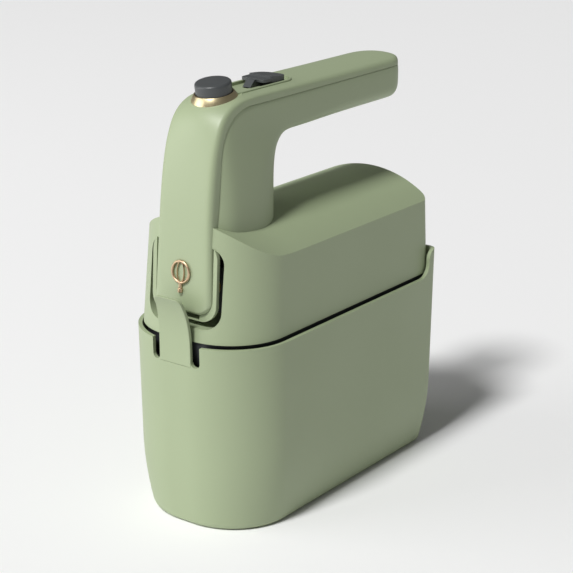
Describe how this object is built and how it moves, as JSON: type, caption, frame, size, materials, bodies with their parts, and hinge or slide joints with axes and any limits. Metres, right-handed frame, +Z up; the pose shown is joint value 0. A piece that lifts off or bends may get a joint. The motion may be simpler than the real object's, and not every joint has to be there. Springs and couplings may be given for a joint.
{
  "type": "hand mixer",
  "caption": "Upright electric hand mixer with a C-shaped handle, standing latched in its own storage case with the beaters stowed below.",
  "frame": {"origin": "centre of the box of the whole object, on the surface it stands on", "axes": "+Z up; +Y along the grip towards its open end, away from the latch; X across the width"},
  "size_m": [0.1, 0.217, 0.2594],
  "materials": {
    "sage_plastic": "satin moulded plastic, sage green",
    "charcoal_plastic": "fine matt moulded plastic, charcoal",
    "charcoal_cap": "satin moulded plastic, charcoal",
    "switch_plastic": "plain moulded plastic, black",
    "gold_ring": "satin champagne gold plating",
    "rose_gold": "satin rose gold plating",
    "polished_steel": "polished stainless steel",
    "screw_steel": "zinc-plated steel",
    "spring_steel": "drawn steel wire",
    "lamination_steel": "stacked steel laminations",
    "copper_wire": "enamelled copper wire",
    "commutator_copper": "turned copper segments",
    "bronze": "sintered bronze",
    "nylon": "natural nylon",
    "carbon": "pressed carbon",
    "gland_rubber": "soft black rubber"
  },
  "bodies": {
    "storage_case": {"case_shell": "sage_plastic", "accessory_tray": "charcoal_plastic"},
    "latch": {"latch_tongue": "sage_plastic"},
    "beater_left": {"beater_left": "polished_steel"},
    "beater_right": {"beater_right": "polished_steel"},
    "mixer": {"main_housing": "sage_plastic", "front_cover": "sage_plastic", "bottom_cover": "charcoal_plastic", "base_screw_1": "screw_steel", "base_screw_2": "screw_steel", "base_screw_3": "screw_steel", "base_screw_4": "screw_steel", "front_emblem": "rose_gold", "button_bezel": "gold_ring", "speed_switch": "switch_plastic", "motor_stator": "lamination_steel", "field_coil_upper": "copper_wire", "field_coil_lower": "copper_wire", "bearing_front": "bronze", "bearing_rear": "bronze", "rear_bracket": "charcoal_plastic", "brush_holder_left": "bronze", "brush_holder_right": "bronze", "carbon_brush_left": "carbon", "carbon_brush_right": "carbon", "gear_frame": "charcoal_plastic", "spindle_bush_left": "bronze", "spindle_bush_right": "bronze", "cord_gland": "gland_rubber"},
    "eject_button": {"eject_button": "charcoal_cap"},
    "ejector": {"ejector_rod": "nylon", "ejector_plate": "nylon", "ejector_spring": "spring_steel"},
    "speed_slider": {"speed_slider": "charcoal_cap"},
    "motor": {"motor_shaft": "polished_steel", "armature_core": "lamination_steel", "armature_winding_front": "copper_wire", "armature_winding_rear": "copper_wire", "commutator": "commutator_copper", "cooling_fan": "nylon"},
    "spindle_left": {"spindle_left": "polished_steel", "worm_wheel_left": "nylon"},
    "spindle_right": {"spindle_right": "polished_steel", "worm_wheel_right": "nylon"}
  },
  "joints": [
    {"name": "latch_flex", "type": "hinge", "parent": "storage_case", "child": "latch", "pos_m": [0, -0.101, 0.1003], "axis": [1, 0, 0], "range_deg": [0, 6], "stiffness_Nm_per_rad": 6},
    {"name": "mixer_lift", "type": "slide", "parent": "storage_case", "child": "mixer", "axis": [0, 0, 1], "range_m": [0, 0.24]},
    {"name": "beater_left_lift", "type": "slide", "parent": "storage_case", "child": "beater_left", "axis": [0, 0, 1], "range_m": [0, 0.12]},
    {"name": "beater_right_lift", "type": "slide", "parent": "storage_case", "child": "beater_right", "axis": [0, 0, 1], "range_m": [0, 0.12]},
    {"name": "eject_press", "type": "slide", "parent": "mixer", "child": "eject_button", "axis": [0, 0.1736, -0.9848], "range_m": [0, 0.004], "stiffness_N_per_m": 900},
    {"name": "ejector_press", "type": "slide", "parent": "mixer", "child": "ejector", "axis": [0, 0, -1], "range_m": [0, 0.004], "deforming": ["ejector_spring"]},
    {"name": "speed_slide", "type": "slide", "parent": "mixer", "child": "speed_slider", "axis": [0, -1, 0], "range_m": [0, 0.008]},
    {"name": "motor_spin", "type": "hinge", "parent": "mixer", "child": "motor", "pos_m": [0, -0.00175, 0.14], "axis": [0, 1, 0], "continuous": true},
    {"name": "spindle_left_spin", "type": "hinge", "parent": "mixer", "child": "spindle_left", "pos_m": [-0.019, -0.04375, 0.14], "axis": [0, 0, 1], "continuous": true},
    {"name": "spindle_right_spin", "type": "hinge", "parent": "mixer", "child": "spindle_right", "pos_m": [0.019, -0.04375, 0.14], "axis": [0, 0, 1], "continuous": true}
  ],
  "couplings": [
    {"joint": "beater_left_lift", "follows": "mixer_lift", "ratio": 0.5},
    {"joint": "beater_right_lift", "follows": "mixer_lift", "ratio": 0.5},
    {"joint": "ejector_press", "follows": "eject_press", "ratio": 0.9848},
    {"joint": "spindle_left_spin", "follows": "motor_spin", "ratio": -0.041667},
    {"joint": "spindle_right_spin", "follows": "motor_spin", "ratio": 0.041667}
  ]
}
